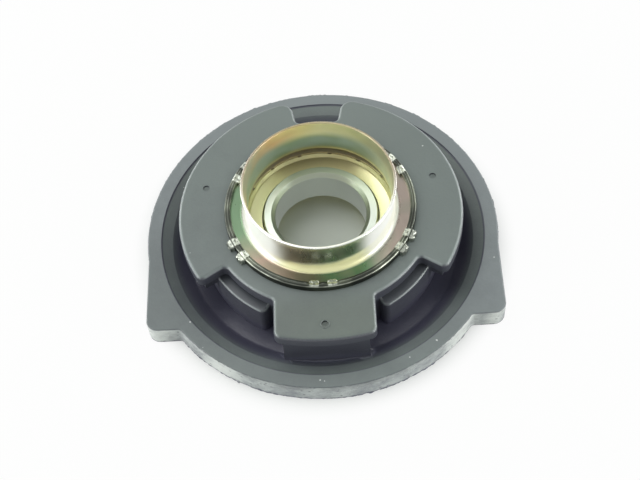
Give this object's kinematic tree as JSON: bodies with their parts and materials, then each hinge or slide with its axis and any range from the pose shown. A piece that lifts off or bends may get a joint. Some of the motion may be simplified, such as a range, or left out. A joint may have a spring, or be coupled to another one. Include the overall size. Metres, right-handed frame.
{
  "type": "driveshaft centre support bearing",
  "caption": "Shielded ball bearing in a crimped steel cup, held in a round rubber cushion with side ears and stopper pads; carries the middle of a two-piece driveshaft.",
  "frame": {"origin": "centre of the bearing bore, at mid-width of the bearing", "axes": "+Z along the bore towards the tall collar, -Y towards the narrow front pad, +X towards the right-hand ear"},
  "size_m": [0.1172, 0.1172, 0.0353],
  "materials": {
    "rubber": "dusty moulded rubber",
    "plated_steel": "yellow zinc plating over pressed steel",
    "bearing_steel": "ground",
    "cage_steel": "pressed sheet",
    "shield_steel": "pressed sheet"
  },
  "bodies": {
    "cushion": {"rubber_cushion": "rubber", "bearing_cup": "plated_steel", "tall_collar": "plated_steel", "short_collar": "plated_steel", "outer_race": "bearing_steel", "upper_shield": "shield_steel", "lower_shield": "shield_steel"},
    "inner_race": {"inner_race": "bearing_steel"},
    "cage": {"cage_upper": "cage_steel", "cage_lower": "cage_steel", "cage_rivets": "cage_steel"},
    "ball_1": {"ball_1": "bearing_steel"},
    "ball_2": {"ball_2": "bearing_steel"},
    "ball_3": {"ball_3": "bearing_steel"},
    "ball_4": {"ball_4": "bearing_steel"},
    "ball_5": {"ball_5": "bearing_steel"},
    "ball_6": {"ball_6": "bearing_steel"},
    "ball_7": {"ball_7": "bearing_steel"},
    "ball_8": {"ball_8": "bearing_steel"},
    "ball_9": {"ball_9": "bearing_steel"},
    "ball_10": {"ball_10": "bearing_steel"},
    "ball_11": {"ball_11": "bearing_steel"}
  },
  "joints": [
    {"name": "shaft_spin", "type": "hinge", "parent": "cushion", "child": "inner_race", "pos_m": [0, 0, 0], "axis": [0, 0, 1], "continuous": true},
    {"name": "cage_spin", "type": "hinge", "parent": "cushion", "child": "cage", "pos_m": [0, 0, 0], "axis": [0, 0, 1], "continuous": true},
    {"name": "ball_1_roll", "type": "hinge", "parent": "cage", "child": "ball_1", "pos_m": [0, 0.02125, 0], "axis": [0, 0, 1], "continuous": true},
    {"name": "ball_2_roll", "type": "hinge", "parent": "cage", "child": "ball_2", "pos_m": [-0.01149, 0.01788, 0], "axis": [0, 0, 1], "continuous": true},
    {"name": "ball_3_roll", "type": "hinge", "parent": "cage", "child": "ball_3", "pos_m": [-0.01933, 0.00883, 0], "axis": [0, 0, 1], "continuous": true},
    {"name": "ball_4_roll", "type": "hinge", "parent": "cage", "child": "ball_4", "pos_m": [-0.02103, -0.00302, 0], "axis": [0, 0, 1], "continuous": true},
    {"name": "ball_5_roll", "type": "hinge", "parent": "cage", "child": "ball_5", "pos_m": [-0.01606, -0.01392, 0], "axis": [0, 0, 1], "continuous": true},
    {"name": "ball_6_roll", "type": "hinge", "parent": "cage", "child": "ball_6", "pos_m": [-0.00599, -0.02039, 0], "axis": [0, 0, 1], "continuous": true},
    {"name": "ball_7_roll", "type": "hinge", "parent": "cage", "child": "ball_7", "pos_m": [0.00599, -0.02039, 0], "axis": [0, 0, 1], "continuous": true},
    {"name": "ball_8_roll", "type": "hinge", "parent": "cage", "child": "ball_8", "pos_m": [0.01606, -0.01392, 0], "axis": [0, 0, 1], "continuous": true},
    {"name": "ball_9_roll", "type": "hinge", "parent": "cage", "child": "ball_9", "pos_m": [0.02103, -0.00302, 0], "axis": [0, 0, 1], "continuous": true},
    {"name": "ball_10_roll", "type": "hinge", "parent": "cage", "child": "ball_10", "pos_m": [0.01933, 0.00883, 0], "axis": [0, 0, 1], "continuous": true},
    {"name": "ball_11_roll", "type": "hinge", "parent": "cage", "child": "ball_11", "pos_m": [0.01149, 0.01788, 0], "axis": [0, 0, 1], "continuous": true}
  ],
  "couplings": [
    {"joint": "cage_spin", "follows": "shaft_spin", "ratio": 0.41595},
    {"joint": "ball_1_roll", "follows": "shaft_spin", "ratio": -2.8905},
    {"joint": "ball_2_roll", "follows": "shaft_spin", "ratio": -2.8905},
    {"joint": "ball_3_roll", "follows": "shaft_spin", "ratio": -2.8905},
    {"joint": "ball_4_roll", "follows": "shaft_spin", "ratio": -2.8905},
    {"joint": "ball_5_roll", "follows": "shaft_spin", "ratio": -2.8905},
    {"joint": "ball_6_roll", "follows": "shaft_spin", "ratio": -2.8905},
    {"joint": "ball_7_roll", "follows": "shaft_spin", "ratio": -2.8905},
    {"joint": "ball_8_roll", "follows": "shaft_spin", "ratio": -2.8905},
    {"joint": "ball_9_roll", "follows": "shaft_spin", "ratio": -2.8905},
    {"joint": "ball_10_roll", "follows": "shaft_spin", "ratio": -2.8905},
    {"joint": "ball_11_roll", "follows": "shaft_spin", "ratio": -2.8905}
  ]
}
